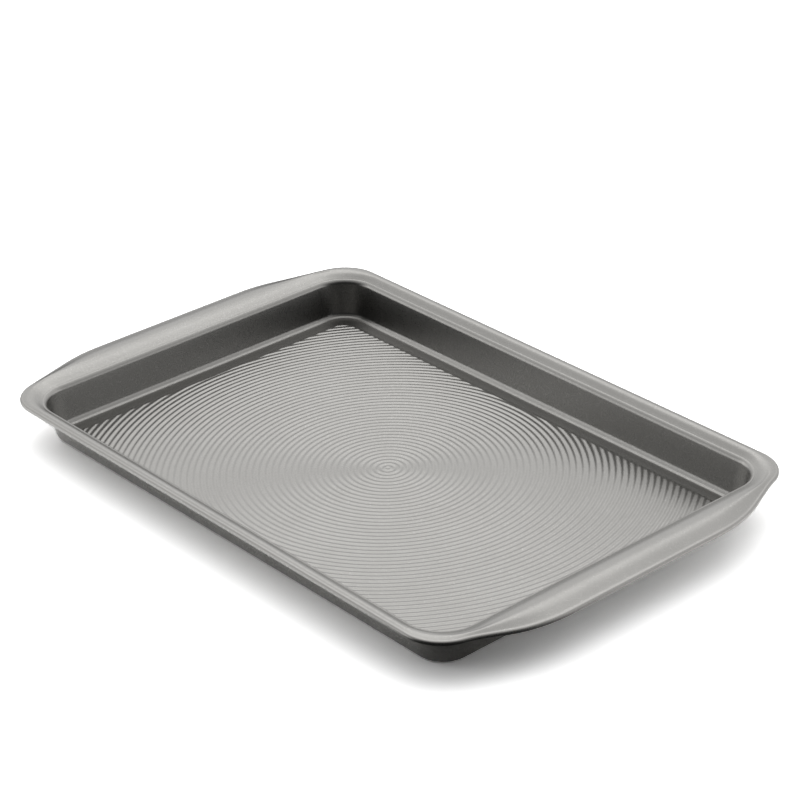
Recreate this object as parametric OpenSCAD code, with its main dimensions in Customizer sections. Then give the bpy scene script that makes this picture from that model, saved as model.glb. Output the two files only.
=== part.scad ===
// Jelly roll pan: a shallow rectangular tray pressed from one steel sheet.
// The floor carries concentric pressed rings, the walls lean outward, and a
// raised rim widens into a shallow handle at each end. The sheet's outer edge
// is rolled down around a loop of steel wire.
//
// Origin: centre of the pan on the table, +Z up, long side along X.

/* [Show] */
// Which piece to draw

/* [Sheet] */
// Sheet thickness, mm
sheet = 0.7; // [0.4:0.05:1.2]

/* [Tray] */
// Half the length across the crease above the lip, mm
crease_x = 204.0; // [120:0.5:260]
// Half the width across the crease above the lip, mm
crease_y = 139.3; // [80:0.5:200]
// Corner radius of the crease seen from above, mm
crease_r = 28; // [20:0.5:60]
// Height of the crease above the table, mm
crease_z = 27.2; // [16:0.2:50]
// Lean of the walls from upright, degrees
draft = 12.7; // [4:0.1:20]
// Radius of the rounded lip at the top of the wall, mm
lip_r = 4.3; // [1.5:0.1:8]
// Inside radius where the wall meets the floor, mm
foot_r = 4.6; // [1.5:0.1:9]

/* [Rim] */
// Width of the sloping riser outside the crease, mm
riser_run = 4.4; // [2:0.1:10]
// Height of the riser, mm
riser_rise = 2.2; // [0.8:0.1:4]
// Half the overall width at the long sides, mm
rim_y = 148.9; // [90:0.1:220]
// Half the overall length at the middle of the ends, mm
rim_x = 228.5; // [130:0.1:300]
// Radius of the outer corners, mm
corner_r = 28.5; // [22:0.1:60]
// Length of the straight shoulder between corner and bend, mm
shoulder_len = 40; // [10:0.5:70]
// Radius of the bend between shoulder and end, mm
bend_r = 100; // [60:1:200]

/* [Rolled edge] */
// Diameter of the wire inside the roll, mm
wire_d = 1.8; // [1:0.05:3]
// Gap between the wire and the roll around it, mm
wire_clearance = 0.1; // [0.05:0.05:0.3]
// How far the roll stands above the flange, mm
roll_up = 0.3; // [0.1:0.05:0.6]
// Where the roll stops, degrees below level on its inner side
roll_stop = 10; // [0:1:45]

/* [Rings] */
// Distance from one ring to the next, mm
ring_pitch = 4.19; // [3:0.01:8]
// Height of the rings, mm
ring_h = 0.5; // [0.2:0.05:0.65]
// Width of a ring's level crest, share of the pitch
ring_crest = 0.26; // [0.1:0.02:0.4]
// Width of the level groove between rings, share of the pitch
ring_groove = 0.26; // [0.1:0.02:0.4]
// Half the length of the ringed field, mm
field_x = 183.6; // [100:0.1:250]
// Half the width of the ringed field, mm
field_y = 119.5; // [60:0.1:190]
// Corner radius of the ringed field, mm
field_r = 12; // [4:0.5:40]

/* [Hidden] */
$fn = 96;

// Wall section: distances outward from the crease, heights above the table.
lip_z = crease_z - lip_r;
foot_z = sheet + foot_r;
lip_u = -lip_r * cos(draft);
wall_top = lip_z + lip_r * sin(draft);
foot_u = lip_u - (wall_top - foot_z) * tan(draft) - foot_r / cos(draft);
arc_steps = 8;

// Floor, wall, flange and roll are one sheet, so each runs this far into the
// flat beside it.
lap = 2 * sheet;
floor_edge = lap / 2 - foot_u;

// Flange and rolled edge: the sheet goes round the wire with its clearance.
wire_r = wire_d / 2;
bore_r = wire_r + wire_clearance;
roll_r = bore_r + sheet;
flange_z = crease_z + riser_rise;
roll_z = flange_z + roll_up - roll_r;
flat_edge = roll_r + bore_r + lap / 4;

// Outline of the rim in the first quarter: long side, corner arc, straight
// shoulder, bend arc and end, each tangent to the next. The shoulder falls
// back 7 for every 24 along it, so its direction is (0.96, 0.28).
shoulder_cos = 0.96;
shoulder_sin = 0.28;
shoulder_dir = atan2(shoulder_sin, shoulder_cos);
// A length that reaches past the whole rim, and the share of it by which an
// arc runs into the shoulder.
far = 1000;
overlap = 1e-7;
corner_x = rim_x - bend_r * (1 - shoulder_cos) - shoulder_len * shoulder_sin
    - corner_r * shoulder_cos;
corner_y = rim_y - corner_r;
bend_x = rim_x - bend_r;
bend_y = corner_y + corner_r * shoulder_sin - shoulder_len * shoulder_cos
    - bend_r * shoulder_sin;

hole_edge = riser_run + lap / 2;
ring_count = ceil(sqrt(field_x * field_x + field_y * field_y) / ring_pitch);

function arc(u, z, r, a0, a1) =
    [for (i = [0 : arc_steps]) let (a = a0 + (a1 - a0) * i / arc_steps)
        [u + r * cos(a), z + r * sin(a)]];

// Section through the edge of the floor, the wall, the lip and the riser:
// along the upper side from the floor to the flange, and back underneath.
module wall_section() {
    turn = sheet * tan(atan2(riser_rise, riser_run) / 2);
    polygon(concat(
        [[foot_u - lap, sheet]],
        arc(foot_u, foot_z, foot_r, -90, -draft),
        arc(0, lip_z, lip_r, 180 - draft, 90),
        [[riser_run, flange_z],
         [riser_run + lap, flange_z],
         [riser_run + lap, flange_z - sheet],
         [riser_run + turn, flange_z - sheet],
         [turn, crease_z - sheet]],
        arc(0, lip_z, lip_r - sheet, 90, 180 - draft),
        arc(foot_u, foot_z, foot_r + sheet, -draft, -90),
        [[foot_u - lap, 0]]));
}

// Section through the rolled edge and the start of the flange beside it.
module roll_section() {
    w = bore_r + lap;
    difference() {
        union() {
            difference() {
                circle(r = roll_r);
                polygon([[0, 0],
                         [-3 * roll_r * cos(roll_stop), -3 * roll_r * sin(roll_stop)],
                         [-3 * roll_r, roll_r - roll_up - sheet],
                         [0, roll_r - roll_up - sheet]]);
            }
            translate([-w, roll_r - roll_up - sheet])
                square([w, sheet]);
        }
        circle(r = bore_r);
    }
}

module wire_section() {
    circle(r = wire_r);
}

// A section carried around a rounded rectangle; its zero line is the path.
module around(x, y, r) {
    for (i = [0, 1]) rotate(180 * i) {
        translate([x, y - r, 0]) rotate([90, 0, 0])
            linear_extrude(height = 2 * (y - r)) children();
        rotate(90) translate([y, x - r, 0]) rotate([90, 0, 0])
            linear_extrude(height = 2 * (x - r)) children();
    }
    for (i = [0, 1], j = [0, 1]) mirror([i, 0, 0]) mirror([0, j, 0])
        translate([x - r, y - r, 0])
            rotate_extrude(angle = 90) translate([r, 0]) children();
}

module rounded_block(x, y, r, z0, z1) {
    translate([0, 0, z0]) linear_extrude(height = z1 - z0) union() {
        square([2 * x, 2 * (y - r)], center = true);
        square([2 * (x - r), 2 * y], center = true);
        for (i = [-1, 1], j = [-1, 1])
            translate([i * (x - r), j * (y - r)]) circle(r = r);
    }
}

// A move in two steps, whole millimetres first, which keeps more decimals.
module at(x, y) {
    translate([floor(x), floor(y), 0])
        translate([x - floor(x), y - floor(y), 0]) children();
}

module stretch(part) {
    if (part == "roll") roll_section();
    else wire_section();
}

// What lies between two directions from the origin.
module between(d1, d2) {
    intersection() {
        children();
        translate([0, 0, -2 * roll_r]) linear_extrude(height = 4 * roll_r)
            polygon([[0, 0], far * d1, far * (d1 + d2), far * d2]);
    }
}

// An arc of radius r about the origin that starts in direction 0.
module turned(part, r, angle) {
    rotate_extrude(angle = angle) translate([r - roll_r, 0]) stretch(part);
}

// A straight stretch that leaves the start of such an arc the other way.
module straight(part, r, length) {
    rotate([90, 0, 0]) linear_extrude(height = length)
        translate([r - roll_r, 0]) stretch(part);
}

// A quarter of the rim outline, carried by the rolled edge or by the wire.
// The shoulder's two halves start where the arcs end and run together.
module rim_quarter(part) {
    d = [shoulder_cos, shoulder_sin];
    half = 0.6 * shoulder_len;
    at(corner_x, corner_y) {
        rotate(90) mirror([0, 1, 0]) straight(part, corner_r, corner_x);
        between(d + [overlap, 0], [-1, 1]) turned(part, corner_r, 90);
        rotate(shoulder_dir) straight(part, corner_r, half);
    }
    at(bend_x, bend_y) {
        rotate(shoulder_dir) mirror([0, 1, 0]) straight(part, bend_r, half);
        between([1, -1], d - [overlap, 0]) turned(part, bend_r, 45);
        straight(part, bend_r, bend_y);
    }
}

module rim_path(part) {
    translate([0, 0, roll_z])
        for (i = [0, 1], j = [0, 1]) mirror([i, 0, 0]) mirror([0, j, 0])
            rim_quarter(part);
}

// Height of the sheet's underside at each turn of the ring wave.
function wave(z) = [for (k = [0 : ring_count]) each [
    [max(0, (k - ring_groove / 2)) * ring_pitch, z],
    [(k + ring_groove / 2) * ring_pitch, z],
    [(k + 0.5 - ring_crest / 2) * ring_pitch, z + ring_h],
    [(k + 0.5 + ring_crest / 2) * ring_pitch, z + ring_h]]];
function reversed(v) = [for (i = [len(v) - 1 : -1 : 0]) v[i]];

// The ringed part of the floor, pressed up from the level of the margin.
module ringed_floor() {
    intersection() {
        rotate_extrude() polygon(concat(wave(0), reversed(wave(sheet))));
        rounded_block(field_x, field_y, field_r, -ring_h, sheet + 2 * ring_h);
    }
}

// The level floor around the rings. It runs under their cut ends by the
// thickness of the sheet.
module floor_margin() {
    difference() {
        rounded_block(crease_x - floor_edge, crease_y - floor_edge,
                      crease_r - floor_edge, 0, sheet);
        rounded_block(field_x - sheet, field_y - sheet, field_r - sheet,
                      -ring_h, sheet + 2 * ring_h);
    }
}

// The rim outline drawn in by d, as points of the first quarter.
function rim_points(d) = concat(
    arc(corner_x, corner_y, corner_r - d, 90, shoulder_dir),
    arc(bend_x, bend_y, bend_r - d, shoulder_dir, 0));
function flipped(v, sx, sy) = [for (p = v) [sx * p[0], sy * p[1]]];

module flange() {
    line = rim_points(flat_edge);
    difference() {
        translate([0, 0, flange_z - sheet]) linear_extrude(height = sheet)
            polygon(concat(line, flipped(reversed(line), 1, -1),
                           flipped(line, -1, -1), flipped(reversed(line), -1, 1)));
        rounded_block(crease_x + hole_edge, crease_y + hole_edge, crease_r + hole_edge,
                      flange_z - 2 * sheet, flange_z + sheet);
    }
    rim_path("roll");
}

module pan_shell() {
    color([0.62, 0.62, 0.60]) union() {
        union() {
            ringed_floor();
            floor_margin();
        }
        union() {
            around(crease_x, crease_y, crease_r) wall_section();
            flange();
        }
    }
}

module rim_wire() {
    color([0.72, 0.72, 0.72]) union() rim_path("wire");
}

pan_shell();
rim_wire();
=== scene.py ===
"""Jelly roll pan on a pale table: the pressed shell with its rings and rolled rim, the wire
in the rim, and the picture's stage. It is laid out as an add-on and run as a script."""

import math
from collections import namedtuple

import bmesh
import bpy
import numpy as np
from mathutils import Matrix, Vector


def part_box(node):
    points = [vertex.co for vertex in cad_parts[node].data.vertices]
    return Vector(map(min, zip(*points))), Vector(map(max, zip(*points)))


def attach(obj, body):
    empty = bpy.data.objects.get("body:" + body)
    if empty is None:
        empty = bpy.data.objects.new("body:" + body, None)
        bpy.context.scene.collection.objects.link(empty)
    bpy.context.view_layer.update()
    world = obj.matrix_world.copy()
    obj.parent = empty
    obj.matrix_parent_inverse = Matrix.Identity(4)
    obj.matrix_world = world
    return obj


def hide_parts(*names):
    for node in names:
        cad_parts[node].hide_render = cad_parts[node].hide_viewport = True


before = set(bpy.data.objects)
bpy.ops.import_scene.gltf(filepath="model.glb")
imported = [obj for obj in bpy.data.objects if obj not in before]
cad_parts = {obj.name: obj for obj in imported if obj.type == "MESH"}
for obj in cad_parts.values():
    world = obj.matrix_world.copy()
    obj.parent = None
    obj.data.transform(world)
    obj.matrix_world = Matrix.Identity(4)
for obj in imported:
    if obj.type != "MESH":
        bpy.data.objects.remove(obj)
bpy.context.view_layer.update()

bl_info = {
    "name": "Jelly Roll Pan",
    "version": (1, 0, 0),
    "blender": (4, 5, 0),
    "location": "View3D > Sidebar > Pan",
    "description": "Builds a jelly roll pan with pressed rings and a wired rim",
    "category": "Object",
}

SHELL_HIGH = Vector(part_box("pan_shell")[1])


def length(name, description, default):
    """A size property; sizes are in metres and shown in the scene's unit."""
    return bpy.props.FloatProperty(
        name=name, description=description, default=default, precision=5,
        subtype="DISTANCE", unit="LENGTH")


def colour(name, description, default):
    """A colour property in linear values."""
    return bpy.props.FloatVectorProperty(
        name=name, description=description, default=default, size=3,
        subtype="COLOR", min=0.0, max=1.0)


class PanSizes(bpy.types.PropertyGroup):
    """Sizes of the pan; its height, width and length at the bead come from the frame"""

    sheet: length("Sheet", "Thickness of the steel sheet", 0.0007)
    crease_x: length("Crease X", "Half the length across the crease above the lip", 0.2040)
    crease_y: length("Crease Y", "Half the width across the crease above the lip", 0.1393)
    crease_r: length("Crease corner", "Corner radius of the crease", 0.0280)
    crease_z: length("Crease height", "Height of the crease above the table", 0.0272)
    lip_r: length("Lip radius", "Radius of the rounded lip above the wall", 0.0043)
    foot_r: length("Foot radius", "Inside radius between wall and floor", 0.0046)
    draft: bpy.props.FloatProperty(
        name="Draft", description="Lean of the walls from upright",
        default=math.radians(12.7), subtype="ANGLE", unit="ROTATION")
    foot_line: length("Foot line", "Depth of the fine line along the foot", 0.00012)
    corner_r: length("Outer corner", "Radius of the rim's outer corners", 0.0285)
    shoulder: length("Shoulder", "Length of the straight shoulder", 0.0400)
    bend_r: length("Bend", "Radius between shoulder and end", 0.1000)
    droop: length("Handle droop", "How far the handles' edge sinks", 0.0020)
    extend: length("Handle reach", "How far the handles reach past the frame", 0.0028)
    wire_r: length("Wire radius", "Radius of the wire in the rolled edge", 0.0009)
    roll_r: length("Roll radius", "Outside radius of the rolled edge", 0.0017)
    riser_run: length("Riser run", "Width of the riser along the sides", 0.0046)
    riser_rise: length("Riser rise", "Height of the riser along the sides", 0.0029)
    end_run: length("End riser run", "Width of the softer riser at the ends", 0.0070)
    end_rise: length("End riser rise", "Height of the softer riser at the ends", 0.0026)
    crown: length("Crown", "How far the end flange rises past its riser", 0.00055)
    pitch: length("Ring pitch", "Distance from one ring to the next", 0.00419)
    ring_h: length("Ring height", "Height of a ring, groove to crest", 0.00044)
    field_x: length("Field X", "Half the length of the ringed field", 0.1836)
    field_y: length("Field Y", "Half the width of the ringed field", 0.1195)
    field_r: length("Field corner", "Corner radius of the ringed field", 0.0120)
    field_rise: length("Field rise", "Height of the ringed field above the margin", 0.00065)
    tip: length("Ring tip", "Distance over which a ring's end dies away", 0.0030)


class PanFinish(bpy.types.PropertyGroup):
    """Colours and gloss of the coated sheet and the wire"""

    coat: colour("Coat", "Body colour of the grey coating", (0.235, 0.231, 0.222))
    coat_dark: colour("Coat, dark", "Darker patches of the coating", (0.205, 0.200, 0.191))
    flake: colour("Flake", "Metal grains in the coating", (0.345, 0.340, 0.330))
    wire: colour("Wire", "Drawn steel wire", (0.560, 0.555, 0.545))
    tarnish: colour("Tarnish", "Tarnish on the wire", (0.340, 0.320, 0.300))
    metallic: bpy.props.FloatProperty(
        name="Metallic", description="How metallic the coating looks",
        default=1.0, min=0.0, max=1.0, subtype="FACTOR")
    roughness: bpy.props.FloatProperty(
        name="Roughness", description="Mean roughness of the coating",
        default=0.30, min=0.0, max=1.0, subtype="FACTOR")


class Studio(bpy.types.PropertyGroup):
    """The picture's camera, table and light"""

    table: colour("Table", "Colour of the table", (0.80, 0.80, 0.80))
    lift: bpy.props.FloatProperty(
        name="Lift", description="How much brighter the picture shows the table",
        default=2.4, min=1.0)
    eye: bpy.props.FloatVectorProperty(
        name="Eye", description="Camera position", size=3, subtype="TRANSLATION",
        default=(1.11485, -0.93856, 0.82218), unit="LENGTH")
    turn: bpy.props.FloatVectorProperty(
        name="Turn", description="Camera rotation", size=3, subtype="EULER",
        default=tuple(math.radians(a) for a in (62.0801, 1.6317, 48.6726)))
    lens: bpy.props.FloatProperty(
        name="Lens", description="Focal length on a sensor 36 mm wide",
        default=117.309, unit="CAMERA")
    key_power: bpy.props.FloatProperty(
        name="Key", description="Power of the large lamp behind the pan",
        default=6.0, min=0.0, unit="POWER")
    dome_high: bpy.props.FloatProperty(
        name="Dome, bright side", description="Strength of the bright side of the sky",
        default=1.46, min=0.0)
    dome_side: bpy.props.FloatProperty(
        name="Dome, flanks", description="Strength added low on both sides of the camera",
        default=1.60, min=0.0)
    dome_low: bpy.props.FloatProperty(
        name="Dome, dark side", description="Strength of the dark side of the sky",
        default=0.05, min=0.0)


# Node trees


class Sock:
    """An output socket of a node tree, with shader sums written as operators."""

    def __init__(self, tree, socket):
        self.tree, self.socket = tree, socket

    def math(self, operation, *others, flip=False):
        """A Math node on this value and others; flip puts this value last."""
        values = [self, *others]
        if flip:
            values.reverse()
        return self.tree.node("ShaderNodeMath", {"operation": operation},
                              {i: v for i, v in enumerate(values)})

    def __add__(self, other):
        return self.math("ADD", other)

    def __radd__(self, other):
        return self.math("ADD", other, flip=True)

    def __sub__(self, other):
        return self.math("SUBTRACT", other)

    def __rsub__(self, other):
        return self.math("SUBTRACT", other, flip=True)

    def __mul__(self, other):
        return self.math("MULTIPLY", other)

    def __rmul__(self, other):
        return self.math("MULTIPLY", other, flip=True)

    def smooth(self, low, high):
        """0 below low, 1 above high, and a smooth step between."""
        return self.tree.node("ShaderNodeMapRange", {"interpolation_type": "SMOOTHSTEP"},
                              {"Value": self, "From Min": low, "From Max": high}, "Result")

    def dot(self, vector):
        """The dot product with a fixed vector."""
        return self.tree.node("ShaderNodeVectorMath", {"operation": "DOT_PRODUCT"},
                              {0: self, 1: vector}, "Value")


class Tree:
    """A node tree under construction."""

    def __init__(self, owner):
        owner.use_nodes = True
        self.tree = owner.node_tree
        self.tree.nodes.clear()

    def node(self, kind, settings=None, inputs=None, output=0):
        """A new node: settings are set first, then each input is set or linked."""
        made = self.tree.nodes.new(kind)
        for key, value in (settings or {}).items():
            setattr(made, key, value)
        for key, value in (inputs or {}).items():
            if isinstance(value, Sock):
                self.tree.links.new(value.socket, made.inputs[key])
            else:
                made.inputs[key].default_value = value
        return Sock(self, made.outputs[output]) if len(made.outputs) else made

    def mix(self, factor, a, b):
        """Colour a turning to colour b. A Mix node has its colours on inputs 6 and 7."""
        return self.node("ShaderNodeMix", {"data_type": "RGBA"}, {0: factor, 6: a, 7: b}, 2)

    def mix_shader(self, factor, a, b):
        """Shader a turning to shader b."""
        return self.node("ShaderNodeMixShader", None, {0: factor, 1: a, 2: b}, "Shader")

    def diffuse(self, colour_value):
        return self.node("ShaderNodeBsdfDiffuse", None, {"Color": rgba(colour_value)}, "BSDF")

    def background(self, strength):
        return self.node("ShaderNodeBackground", None,
                         {"Color": rgba((1, 1, 1)), "Strength": strength}, "Background")

    def light_path(self, question):
        return self.node("ShaderNodeLightPath", output=question)

    def output(self, kind, surface):
        self.node(kind, None, {"Surface": surface})


def rgba(value):
    return (*value, 1.0)


# Finishes

# Weights that turn a cell's random colour into one number from 0 to 1.
CELL_WEIGHTS = (0.5, 0.3, 0.2)


def noise(tree, place, scale, detail, roughness=0.5):
    """A noise texture's value, about 0.5 on average; scale is in waves per metre."""
    return tree.node("ShaderNodeTexNoise", None, {
        "Vector": place, "Scale": scale, "Detail": detail, "Roughness": roughness}, "Fac")


def coated_sheet(finish):
    """Grey baked-on coating with a fine metal grain, faint clouds and orange peel."""
    material = bpy.data.materials.new("coated_sheet")
    tree = Tree(material)
    place = tree.node("ShaderNodeTexCoord", output="Object")
    clouds = noise(tree, place, 22.0, 4.0, 0.55)
    grain = noise(tree, place, 1900.0, 2.0, 0.6)
    cells = tree.node("ShaderNodeTexVoronoi", {"feature": "F1"}, {
        "Vector": place, "Scale": 2600.0, "Randomness": 1.0}, "Color")
    spark = cells.dot(CELL_WEIGHTS).smooth(0.66, 0.86)
    peel = noise(tree, place, 700.0, 3.0)
    rub = noise(tree, place, 90.0, 5.0, 0.65)

    cloud_cover = clouds.smooth(0.3, 0.75) * 0.3
    base = tree.mix(cloud_cover, rgba(finish.coat), rgba(finish.coat_dark))
    flake_cover = spark * 0.55
    base = tree.mix(flake_cover, base, rgba(finish.flake))
    grain_cover = grain.smooth(0.5, 0.75) * 0.25
    base = tree.mix(grain_cover, base, rgba(finish.coat_dark))
    rough = finish.roughness + (grain - 0.5) * 0.10 + (rub - 0.5) * 0.06 - spark * 0.05
    bump = tree.node("ShaderNodeBump", None, {
        "Strength": 0.12, "Distance": 0.0001, "Height": peel + grain * 0.5}, "Normal")
    shader = tree.node("ShaderNodeBsdfPrincipled", None, {
        "Base Color": base, "Metallic": finish.metallic, "Roughness": rough,
        "Normal": bump}, "BSDF")
    tree.output("ShaderNodeOutputMaterial", shader)
    return material


def drawn_wire(finish):
    """Bright drawn wire with a fine mottle in its gloss and a little tarnish."""
    material = bpy.data.materials.new("drawn_wire")
    tree = Tree(material)
    place = tree.node("ShaderNodeTexCoord", output="Object")
    mottle = noise(tree, place, 1400.0, 2.0)
    stain = noise(tree, place, 60.0, 4.0)
    tarnish_cover = stain.smooth(0.4, 0.75) * 0.5
    base = tree.mix(tarnish_cover, rgba(finish.wire), rgba(finish.tarnish))
    shader = tree.node("ShaderNodeBsdfPrincipled", None, {
        "Base Color": base, "Metallic": 1.0, "Roughness": 0.3 + (mottle - 0.5) * 0.15},
        "BSDF")
    tree.output("ShaderNodeOutputMaterial", shader)
    return material


# Outline of the shell

# The shoulder falls back 7 for every 24 along it, so this is its normal's direction.
SHOULDER_COS, SHOULDER_SIN = 0.96, 0.28
BEND_STEPS, CORNER_STEPS = 12, 40

# Stations round the pan: their distance on the straight sides, and the steps in a corner.
STATION_STEP = 0.0045
FAN_STEPS = 24

# Points closer than this are one, and a point this little short of a line is on it.
SAME_PLACE = 1e-7
ON_LINE = 1e-12

# A handle's reach and droop start this far short of the end of the rim and grow to
# their full size over this distance, in a smooth step that bends the straight shoulder.
HANDLE_START = 0.0152
HANDLE_BLEND = 0.0112

# A station: the crease point x, y and the angle of its normal; the reach from there to the
# rolled edge's centre line, and the angle of that line's normal; how far the station
# belongs to an end, and how far to a handle, both from 0 to 1.
Station = namedtuple("Station", "x y turn reach out end handle")


def arc(centre, radius, start, stop, steps):
    """Points along an arc, angles in radians, as an array of pairs."""
    angles = np.linspace(start, stop, steps + 1)
    return np.stack([centre[0] + radius * np.cos(angles),
                     centre[1] + radius * np.sin(angles)], axis=1)


def rim_outline(sizes):
    """The centre line of the rolled edge in the first quarter, without the handles' reach:
    its points, and the angles of their outward normals.

    The order is end, bend, shoulder, corner, long side, each tangent to the next.
    """
    cos, sin = SHOULDER_COS, SHOULDER_SIN
    half = math.atan2(sin, cos)
    rim_x, rim_y = SHELL_HIGH.x - sizes.roll_r, SHELL_HIGH.y - sizes.roll_r
    corner_r, bend_r = sizes.corner_r - sizes.roll_r, sizes.bend_r - sizes.roll_r
    corner = (rim_x - bend_r * (1 - cos) - sizes.shoulder * sin - corner_r * cos,
              rim_y - corner_r)
    bend = (rim_x - bend_r,
            corner[1] + corner_r * sin - sizes.shoulder * cos - bend_r * sin)
    ends = np.array([[rim_x, 0.0], [rim_x, bend[1] * 0.5]])
    side = np.array([[corner[0] * 0.5, rim_y], [0.0, rim_y]])
    bends = arc(bend, bend_r, 0.0, half, BEND_STEPS)
    corners = arc(corner, corner_r, half, math.pi / 2, CORNER_STEPS)
    points = np.concatenate([ends, bends, corners, side])
    angles = np.concatenate([np.zeros(2), np.linspace(0.0, half, BEND_STEPS + 1),
                             np.linspace(half, math.pi / 2, CORNER_STEPS + 1),
                             np.full(2, math.pi / 2)])
    return points, angles


def quarter_stations(sizes):
    """The stations of the first quarter, from the middle of the end to that of the side."""
    rim_x = SHELL_HIGH.x - sizes.roll_r
    r, x, y = sizes.crease_r, sizes.crease_x - sizes.crease_r, sizes.crease_y - sizes.crease_r
    up, along = int(y / STATION_STEP), int(x / STATION_STEP)
    fan = np.linspace(0.0, math.pi / 2, FAN_STEPS + 1)
    crease = [(x + r, v, 0.0) for v in np.linspace(0.0, y, up, endpoint=False)]
    crease += [(x + r * math.cos(a), y + r * math.sin(a), a) for a in fan]
    crease += [(v, y + r, math.pi / 2) for v in np.linspace(x, 0.0, along + 1)[1:]]
    line, angles = rim_outline(sizes)
    made = []
    for px, py, a in crease:
        d = np.array([math.cos(a), math.sin(a)])
        off = d[0] * (line[:, 1] - py) - d[1] * (line[:, 0] - px)
        k = int(np.argmax(off >= -ON_LINE)) or 1
        t = -off[k - 1] / (off[k] - off[k - 1])
        hit = line[k - 1] + (line[k] - line[k - 1]) * t
        out = angles[k - 1] + (angles[k] - angles[k - 1]) * t
        w = min(max((hit[0] - rim_x + HANDLE_START) / HANDLE_BLEND, 0.0), 1.0)
        w = w * w * (3 - 2 * w)
        reach = float(np.dot(hit + (sizes.extend * w, 0.0) - (px, py), d))
        made.append(Station(px, py, a, reach, out, math.cos(a) ** 2, w))
    return made


def stations_round(sizes):
    """The stations of the whole pan, anticlockwise, from the first quarter mirrored."""
    quarter = quarter_stations(sizes)
    whole = []
    for q in range(4):
        for s in quarter if q % 2 == 0 else quarter[::-1]:
            if q == 1:
                s = s._replace(x=-s.x, turn=math.pi - s.turn, out=math.pi - s.out)
            elif q == 2:
                s = s._replace(x=-s.x, y=-s.y, turn=s.turn + math.pi, out=s.out + math.pi)
            elif q == 3:
                s = s._replace(y=-s.y, turn=-s.turn, out=-s.out)
            if not whole or math.dist(s[:2], whole[-1][:2]) > SAME_PLACE:
                whole.append(s)
    if math.dist(whole[0][:2], whole[-1][:2]) < SAME_PLACE:
        whole.pop()
    return whole


def on_roll(station, u):
    """The plan of a point u outward of the rolled edge's centre line."""
    return (station.x + station.reach * math.cos(station.turn) + u * math.cos(station.out),
            station.y + station.reach * math.sin(station.turn) + u * math.sin(station.out))


def roll_height(sizes, station):
    """Height of the rolled edge's centre line."""
    return SHELL_HIGH.z - sizes.roll_r - sizes.droop * station.handle


# Section of the shell

# The foot's arc has its fine line in the middle, which fades over about this many steps of
# the arc to either side.
FOOT_STEPS = 22
FOOT_LINE_WIDTH = 1.3
WALL_STEPS = 4

# The lip's arc stops short of its top, where the crease begins.
LIP_END = math.radians(112)
LIP_STEPS = 12

# The notch of the crease: steps outward and up from the end of the lip, and slopes. It is
# a known fault that the underside crosses itself here, in a fold about 0.5 mm wide.
NOTCH = ((0.00014, -0.00007, -0.6), (0.00030, -0.00013, 0.0), (0.00060, 0.00008, 0.70))

# The riser's first angle in degrees and its last slope at the sides, and how much less
# each is at the ends.
RISER_ANGLE, RISER_ANGLE_LESS = 29, 9
KNEE, KNEE_LESS = 0.16, 0.02

# The flange is highest at this share of the way from the riser to the roll, rises this
# far past the riser at the sides, and meets the roll at this slope.
PEAK_SHARE = 0.30
SIDE_CROWN = 0.00010
ROLL_SLOPE = -0.22
RISER_STEPS, PEAK_STEPS, FALL_STEPS = 8, 5, 9

# The roll starts and stops at these angles, anticlockwise from straight outward.
ROLL_START, ROLL_STOP = math.radians(97), -math.radians(170)
ROLL_STEPS, BORE_STEPS = 33, 25


def hermite(p0, p1, m0, m1, steps):
    """A cubic between two (u, z) points with end slopes; yields u, z and slope."""
    (u0, z0), (u1, z1) = p0, p1
    w = u1 - u0
    for i in range(1, steps + 1):
        t = i / steps
        a, b = 2 * t ** 3 - 3 * t ** 2 + 1, t ** 3 - 2 * t ** 2 + t
        c, d = 3 * t ** 2 - 2 * t ** 3, t ** 3 - t ** 2
        z = a * z0 + b * w * m0 + c * z1 + d * w * m1
        slope = ((6 * t ** 2 - 6 * t) * (z0 - z1) / w
                 + (3 * t ** 2 - 4 * t + 1) * m0 + (3 * t ** 2 - 2 * t) * m1)
        yield u0 + w * t, z, slope


def flange_path(sizes, station, lip_u, lip_top):
    """The upper side from the end of the lip to the roll, as rows of u, z and slope."""
    end = station.end
    run = sizes.riser_run + (sizes.end_run - sizes.riser_run) * end
    rise = sizes.riser_rise + (sizes.end_rise - sizes.riser_rise) * end
    edge_u = station.reach + sizes.roll_r * math.cos(ROLL_START)
    edge_z = roll_height(sizes, station) + sizes.roll_r * math.sin(ROLL_START)
    peak_u = run + (edge_u - run) * PEAK_SHARE
    peak_z = sizes.crease_z + rise + SIDE_CROWN + (sizes.crown - SIDE_CROWN) * end
    first = math.tan(math.radians(RISER_ANGLE - RISER_ANGLE_LESS * end))
    knee = KNEE - KNEE_LESS * end
    path = [(lip_u + out, lip_top + up, slope) for out, up, slope in NOTCH]
    crease, top = path[-1][:2], (run, sizes.crease_z + rise)
    path += hermite(crease, top, first, knee, RISER_STEPS)
    path += hermite(top, (peak_u, peak_z), knee, 0.0, PEAK_STEPS)
    path += hermite((peak_u, peak_z), (edge_u, edge_z), 0.0, ROLL_SLOPE, FALL_STEPS)
    return path


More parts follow.
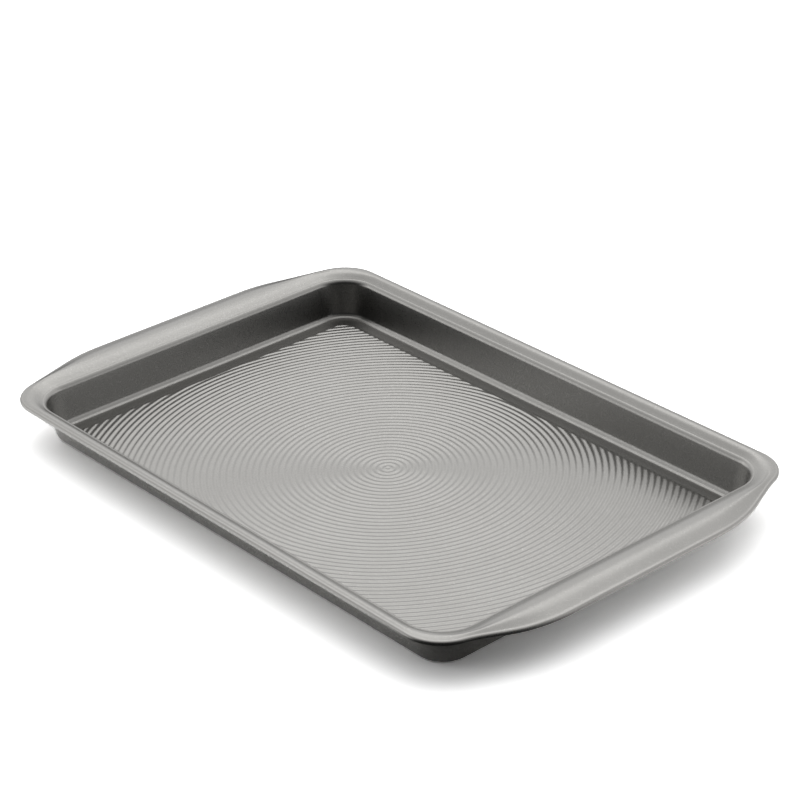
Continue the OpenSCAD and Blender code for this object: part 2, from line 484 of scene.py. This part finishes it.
def section(sizes, station):
    """The sheet's section at one station, from the floor out, round the roll and back.

    Each row is (u, z, rolled): u runs out from the crease or, for the rolled rows, from
    the centre line of the roll. The rows of every station match one another.
    """
    t, c, s = sizes.sheet, math.cos(sizes.draft), math.sin(sizes.draft)
    lip_z = sizes.crease_z - sizes.lip_r
    foot_z = t + sizes.foot_r
    wall_u, wall_z = -sizes.lip_r * c, lip_z + sizes.lip_r * s
    foot_u = wall_u - (wall_z - foot_z) * s / c - sizes.foot_r / c

    top, under = [], []
    for i in range(FOOT_STEPS + 1):
        a = -math.pi / 2 + (math.pi / 2 - sizes.draft) * i / FOOT_STEPS
        line = math.exp(-(((i - FOOT_STEPS // 2) / FOOT_LINE_WIDTH) ** 2)) * sizes.foot_line
        top.append((foot_u + (sizes.foot_r + line) * math.cos(a),
                    foot_z + (sizes.foot_r + line) * math.sin(a)))
        under.append((foot_u + (sizes.foot_r + t) * math.cos(a),
                      foot_z + (sizes.foot_r + t) * math.sin(a)))
    low, high = top[-1], (wall_u, wall_z)
    for i in range(1, WALL_STEPS):
        f = i / WALL_STEPS
        u, z = low[0] + (high[0] - low[0]) * f, low[1] + (high[1] - low[1]) * f
        top.append((u, z))
        under.append((u + t * c, z - t * s))
    for i in range(LIP_STEPS + 1):
        a = math.pi - sizes.draft + (sizes.draft + LIP_END - math.pi) * i / LIP_STEPS
        top.append((sizes.lip_r * math.cos(a), lip_z + sizes.lip_r * math.sin(a)))
        r = sizes.lip_r - t
        under.append((r * math.cos(a), lip_z + r * math.sin(a)))
    lip_u, lip_top = sizes.lip_r * math.cos(LIP_END), lip_z + sizes.lip_r * math.sin(LIP_END)
    for u, z, slope in flange_path(sizes, station, lip_u, lip_top):
        n = math.hypot(1.0, slope)
        top.append((u, z))
        under.append((u + t * slope / n, z - t / n))

    roll_z = roll_height(sizes, station)
    roll = [(sizes.roll_r * math.cos(a), roll_z + sizes.roll_r * math.sin(a))
            for a in np.linspace(ROLL_START, ROLL_STOP, ROLL_STEPS + 1)[1:]]
    bore = sizes.roll_r - t
    roll += [(bore * math.cos(a), roll_z + bore * math.sin(a))
             for a in np.linspace(ROLL_STOP, ROLL_START, BORE_STEPS + 1)]
    return ([(u, z, False) for u, z in top] + [(u, z, True) for u, z in roll]
            + [(u, z, False) for u, z in reversed(under)])


# The ringed floor

# Rows of the net in one ring, and the least distance from a spoke's last point to the rim.
ROWS_IN_RING = 6
SPOKE_GAP = 0.0006

# The net is cut at these shares of the ring tip, so that the fade has its own edges. Only
# faces this near to a cut are cut, and only up to this far outside the field.
TIP_CUTS = (0.0, 0.25, 0.5, 0.75, 1.0)
CUT_NEAR = 0.008
CUT_OVER = 0.001
CUT_WELD = 1e-6


def ring_height(sizes, x, y):
    """Height of the floor above the margin: rings round the middle, dying at the edge."""
    r = np.hypot(x, y)
    wave = 0.5 - 0.5 * np.cos(2 * math.pi * r / sizes.pitch)
    qx = np.abs(x) - (sizes.field_x - sizes.field_r)
    qy = np.abs(y) - (sizes.field_y - sizes.field_r)
    outside = np.hypot(np.maximum(qx, 0), np.maximum(qy, 0))
    inset = sizes.field_r - outside - np.minimum(np.maximum(qx, qy), 0)
    fade = np.clip(inset / sizes.tip, 0, 1)
    return (sizes.field_rise + sizes.ring_h * wave) * fade * fade * (3 - 2 * fade)


def join_spokes(net, a, b, rim_a, rim_b):
    """Faces between two spokes and the rim; the longer spoke's extra points make a fan."""
    common = min(len(a), len(b))
    for i in range(common - 1):
        net.faces.new((a[i], a[i + 1], b[i + 1], b[i]))
    if len(a) >= len(b):
        for i in range(common - 1, len(a) - 1):
            net.faces.new((a[i], a[i + 1], rim_b) if i >= common else
                          (a[i], a[i + 1], rim_b, b[i]))
        if len(a) > common:
            net.faces.new((a[-1], rim_a, rim_b))
        else:
            net.faces.new((a[-1], rim_a, rim_b, b[-1]))
    else:
        for i in range(common - 1, len(b) - 1):
            net.faces.new((b[i + 1], b[i], rim_a) if i >= common else
                          (a[i], rim_a, b[i + 1], b[i]))
        net.faces.new((b[-1], rim_a, rim_b))


def cut_net(net, axis, level, other):
    """Cut the net across one axis at a level, as far out as other on the other axis."""
    point, normal = Vector((0, 0, 0)), Vector((0, 0, 0))
    point[axis], normal[axis] = level, 1.0
    near = [f for f in net.faces
            if abs(f.calc_center_median()[axis] - level) < CUT_NEAR
            and abs(f.calc_center_median()[1 - axis]) < other + CUT_OVER]
    geometry = list({v for f in near for v in f.verts})
    geometry += list({e for f in near for e in f.edges}) + near
    bmesh.ops.bisect_plane(net, geom=geometry, plane_co=point, plane_no=normal, dist=CUT_WELD)


def ringed_floor(sizes, edge):
    """A flat polar net over the floor, out to the points of edge, which are its rim.

    It returns the bmesh, which the caller frees, and the rim's vertices in order.
    """
    net = bmesh.new()
    step = sizes.pitch / ROWS_IN_RING
    rim = [net.verts.new((x, y, 0.0)) for x, y in edge]
    middle = net.verts.new((0.0, 0.0, 0.0))
    spokes = []
    for x, y in edge:
        far = math.hypot(x, y)
        count = int((far - SPOKE_GAP) / step)
        spokes.append([net.verts.new((x * step * i / far, y * step * i / far, 0.0))
                       for i in range(1, count + 1)])
    for j in range(len(edge)):
        k = (j + 1) % len(edge)
        net.faces.new((middle, spokes[j][0], spokes[k][0]))
        join_spokes(net, spokes[j], spokes[k], rim[j], rim[k])
    for axis, half, other in ((0, sizes.field_x, sizes.field_y),
                              (1, sizes.field_y, sizes.field_x)):
        for share in TIP_CUTS:
            for sign in (-1, 1):
                cut_net(net, axis, sign * (half - share * sizes.tip), other)
    return net, rim


# The meshes

WIRE_SIDES = 16


def build_shell(sizes):
    """The whole pressed sheet as one closed mesh."""
    stations = stations_round(sizes)
    rows = [section(sizes, station) for station in stations]
    count, depth = len(stations), len(rows[0])
    verts = np.zeros((count, depth, 3))
    for j, station in enumerate(stations):
        for i, (u, z, rolled) in enumerate(rows[j]):
            if rolled:
                x, y = on_roll(station, u)
            else:
                x = station.x + u * math.cos(station.turn)
                y = station.y + u * math.sin(station.turn)
            verts[j, i] = (x, y, z)

    net, rim = ringed_floor(sizes, [tuple(verts[j, 0, :2]) for j in range(count)])
    net.verts.index_update()
    floor = np.array([v.co[:] for v in net.verts])
    faces = [[v.index for v in f.verts] for f in net.faces]
    rim_index = [v.index for v in rim]
    net.free()
    height = ring_height(sizes, floor[:, 0], floor[:, 1])

    # The points are the floor's upper side, its underside and the wall's inner rows; the
    # wall's first and last rows are the floor's two rims.
    size = len(floor)
    points = np.concatenate([
        np.column_stack([floor[:, :2], sizes.sheet + height]),
        np.column_stack([floor[:, :2], height]),
        verts[:, 1:-1].reshape(-1, 3)])
    wall = 2 * size
    inner = depth - 2

    def at(j, i):
        j %= count
        if i == 0:
            return rim_index[j]
        if i == depth - 1:
            return size + rim_index[j]
        return wall + j * inner + i - 1

    polygons = list(faces) + [[size + v for v in reversed(f)] for f in faces]
    for j in range(count):
        for i in range(depth - 1):
            polygons.append([at(j, i), at(j, i + 1), at(j + 1, i + 1), at(j + 1, i)])
    mesh = bpy.data.meshes.new("pressed_shell")
    mesh.from_pydata(points.tolist(), [], polygons)
    if mesh.validate():
        raise RuntimeError("the shell's mesh had faults")
    mesh.shade_smooth()
    return mesh


def build_wire(sizes):
    """The closed loop of wire along the middle of the rolled edge."""
    points, faces = [], []
    stations = stations_round(sizes)
    for station in stations:
        z = roll_height(sizes, station)
        for k in range(WIRE_SIDES):
            a = 2 * math.pi * k / WIRE_SIDES
            points.append((*on_roll(station, sizes.wire_r * math.cos(a)),
                           z + sizes.wire_r * math.sin(a)))
    for j in range(len(stations)):
        a, b = j * WIRE_SIDES, (j + 1) % len(stations) * WIRE_SIDES
        for k in range(WIRE_SIDES):
            n = (k + 1) % WIRE_SIDES
            faces.append((a + k, b + k, b + n, a + n))
    mesh = bpy.data.meshes.new("drawn_wire_loop")
    mesh.from_pydata(points, [], faces)
    mesh.shade_smooth()
    return mesh


# The stage

# The sky, the lamp and the table's dimming are fitted to one view of the pan. They are no
# measure of a real studio.

# The picture is this many pixels wide and high, and its centre is half a pixel off. The
# sensor's width is in millimetres, and the camera sees from and to these distances.
PICTURE = 800
SENSOR = 36.0
CLIP = (0.05, 20.0)

# Half the table's side, and its height, a hair under the pan.
TABLE_HALF = 4.0
TABLE_Z = -0.0001

# Reflections see a dark table where it is far out along this direction, either way, given
# in degrees round from +X. It darkens over this span, to this share of its own colour.
CAMERA_SIDE = -40
TABLE_FADE = (0.19, 0.26)
TABLE_DIM = 0.03

# The sky: the direction of its bright side in degrees, how much height counts towards
# that side, the spans of cosine over which the side and the height come in, and the share
# of the bright side's strength that is left where the height adds nothing.
BRIGHT_SIDE = 130
SIDE_HEIGHT = 0.6
SIDE_SPAN = (-0.35, 1.00)
HEIGHT_SPAN = (-0.15, 0.42)
HORIZON_SHARE = 0.45

# Its two flanks, at right angles to that side: their span, and the right one's share.
FLANK_SPAN = (0.76, 0.97)
RIGHT_SHARE = 0.65

# The lamp behind the pan, which points at the pan's centre.
LAMP_PLACE = (-1.15, 0.95, 1.75)
LAMP_SIZE = (1.6, 1.2)


def towards(degrees):
    """The level direction at an angle round from +X."""
    return (math.cos(math.radians(degrees)), math.sin(math.radians(degrees)), 0.0)


def build_camera(scene, studio):
    """The camera at the photograph's viewing angle."""
    data = bpy.data.cameras.new("camera")
    data.sensor_width, data.lens = SENSOR, studio.lens
    data.shift_x, data.shift_y = -0.5 / PICTURE, 0.5 / PICTURE
    data.clip_start, data.clip_end = CLIP
    camera = bpy.data.objects.new("camera", data)
    camera.location, camera.rotation_euler = studio.eye, studio.turn
    scene.collection.objects.link(camera)
    scene.camera = camera


def table_top(studio):
    """A pale table. The camera and reflections see it lifted, and reflections see its
    far parts dark."""
    material = bpy.data.materials.new("table")
    tree = Tree(material)
    gloss = tree.light_path("Is Glossy Ray")
    seen = tree.light_path("Is Camera Ray") + gloss
    place = tree.node("ShaderNodeTexCoord", output="Object")
    front = place.dot(towards(CAMERA_SIDE))
    shade = gloss * front.math("ABSOLUTE").smooth(*TABLE_FADE)
    lifted = tree.diffuse([c * studio.lift for c in studio.table])
    dim = tree.diffuse([c * TABLE_DIM for c in studio.table])
    shown = tree.mix_shader(shade, lifted, dim)
    both = tree.mix_shader(seen, tree.diffuse(studio.table), shown)
    tree.output("ShaderNodeOutputMaterial", both)
    return material


def build_table(scene, studio):
    """The level plane that the pan stands on."""
    h, z = TABLE_HALF, TABLE_Z
    mesh = bpy.data.meshes.new("table")
    mesh.from_pydata([(-h, -h, z), (h, -h, z), (h, h, z), (-h, h, z)], [], [(0, 1, 2, 3)])
    mesh.materials.append(table_top(studio))
    table = bpy.data.objects.new("table", mesh)
    scene.collection.objects.link(table)


def build_sky(scene, studio):
    """A sky with a bright far side and two bright flanks, which the camera sees white."""
    world = bpy.data.worlds.new("sky")
    scene.world = world
    tree = Tree(world)
    way = tree.node("ShaderNodeTexCoord", output="Generated")
    far_side = towards(BRIGHT_SIDE)
    up = way.dot((0.0, 0.0, 1.0))
    side = (way.dot(far_side) + up * SIDE_HEIGHT).smooth(*SIDE_SPAN)
    height = up.smooth(*HEIGHT_SPAN)
    left = way.dot((-far_side[1], far_side[0], 0.0))
    flanks = left.smooth(*FLANK_SPAN) + RIGHT_SHARE * (0.0 - left).smooth(*FLANK_SPAN)
    from_height = HORIZON_SHARE + (1.0 - HORIZON_SHARE) * height
    strength = (studio.dome_low + studio.dome_high * side * from_height
                + studio.dome_side * flanks)
    seen = tree.light_path("Is Camera Ray")
    both = tree.mix_shader(seen, tree.background(strength), tree.background(1.0))
    tree.output("ShaderNodeOutputWorld", both)


def build_lamp(scene, studio):
    """The large soft lamp behind the pan."""
    data = bpy.data.lights.new("key", "AREA")
    data.shape = "RECTANGLE"
    data.size, data.size_y = LAMP_SIZE
    data.energy = studio.key_power
    lamp = bpy.data.objects.new("key", data)
    place = Vector(LAMP_PLACE)
    lamp.matrix_world = (Matrix.Translation(place)
                         @ (-place).to_track_quat("-Z", "Y").to_matrix().to_4x4())
    scene.collection.objects.link(lamp)


# Operators


class PAN_OT_shell(bpy.types.Operator):
    """Build the pressed shell in place of the plain one"""

    bl_idname = "pan.shell"
    bl_label = "Pressed Shell"
    bl_options = {"REGISTER", "UNDO"}

    def execute(self, context):
        scene = context.scene
        shell = bpy.data.objects.new("pressed_shell", build_shell(scene.pan_sizes))
        scene.collection.objects.link(shell)
        shell.data.materials.append(coated_sheet(scene.pan_finish))
        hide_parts("pan_shell")
        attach(shell, "root")
        return {"FINISHED"}


class PAN_OT_wire(bpy.types.Operator):
    """Build the drawn wire in the rolled edge in place of the plain one"""

    bl_idname = "pan.wire"
    bl_label = "Rim Wire"
    bl_options = {"REGISTER", "UNDO"}

    def execute(self, context):
        scene = context.scene
        wire = bpy.data.objects.new("drawn_wire_loop", build_wire(scene.pan_sizes))
        scene.collection.objects.link(wire)
        wire.data.materials.append(drawn_wire(scene.pan_finish))
        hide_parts("rim_wire")
        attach(wire, "root")
        return {"FINISHED"}


class PAN_OT_stage(bpy.types.Operator):
    """Set the table, the light and the camera of the picture"""

    bl_idname = "pan.stage"
    bl_label = "Stage"
    bl_options = {"REGISTER", "UNDO"}

    def execute(self, context):
        scene = context.scene
        scene.view_settings.view_transform = "Standard"
        for build in (build_camera, build_table, build_sky, build_lamp):
            build(scene, scene.pan_studio)
        return {"FINISHED"}


class PAN_PT_panel(bpy.types.Panel):
    """Sizes, finish and stage of the pan"""

    bl_idname = "PAN_PT_panel"
    bl_label = "Jelly Roll Pan"
    bl_space_type = "VIEW_3D"
    bl_region_type = "UI"
    bl_category = "Pan"

    def draw(self, context):
        layout = self.layout
        for label, group in (("Sizes", context.scene.pan_sizes),
                             ("Finish", context.scene.pan_finish),
                             ("Stage", context.scene.pan_studio)):
            box = layout.box()
            box.label(text=label)
            for key in group.__annotations__:
                box.prop(group, key)
        for operator in OPERATORS:
            layout.operator(operator.bl_idname)


OPERATORS = (PAN_OT_shell, PAN_OT_wire, PAN_OT_stage)
GROUPS = {"pan_sizes": PanSizes, "pan_finish": PanFinish, "pan_studio": Studio}


def register():
    for kind in (*GROUPS.values(), *OPERATORS, PAN_PT_panel):
        bpy.utils.register_class(kind)
    for name, kind in GROUPS.items():
        setattr(bpy.types.Scene, name, bpy.props.PointerProperty(type=kind))


def unregister():
    for name in GROUPS:
        delattr(bpy.types.Scene, name)
    for kind in (PAN_PT_panel, *reversed(OPERATORS), *reversed(list(GROUPS.values()))):
        bpy.utils.unregister_class(kind)


def main():
    register()
    bpy.ops.pan.shell()
    bpy.ops.pan.wire()
    bpy.ops.pan.stage()


if __name__ == "__main__":
    main()
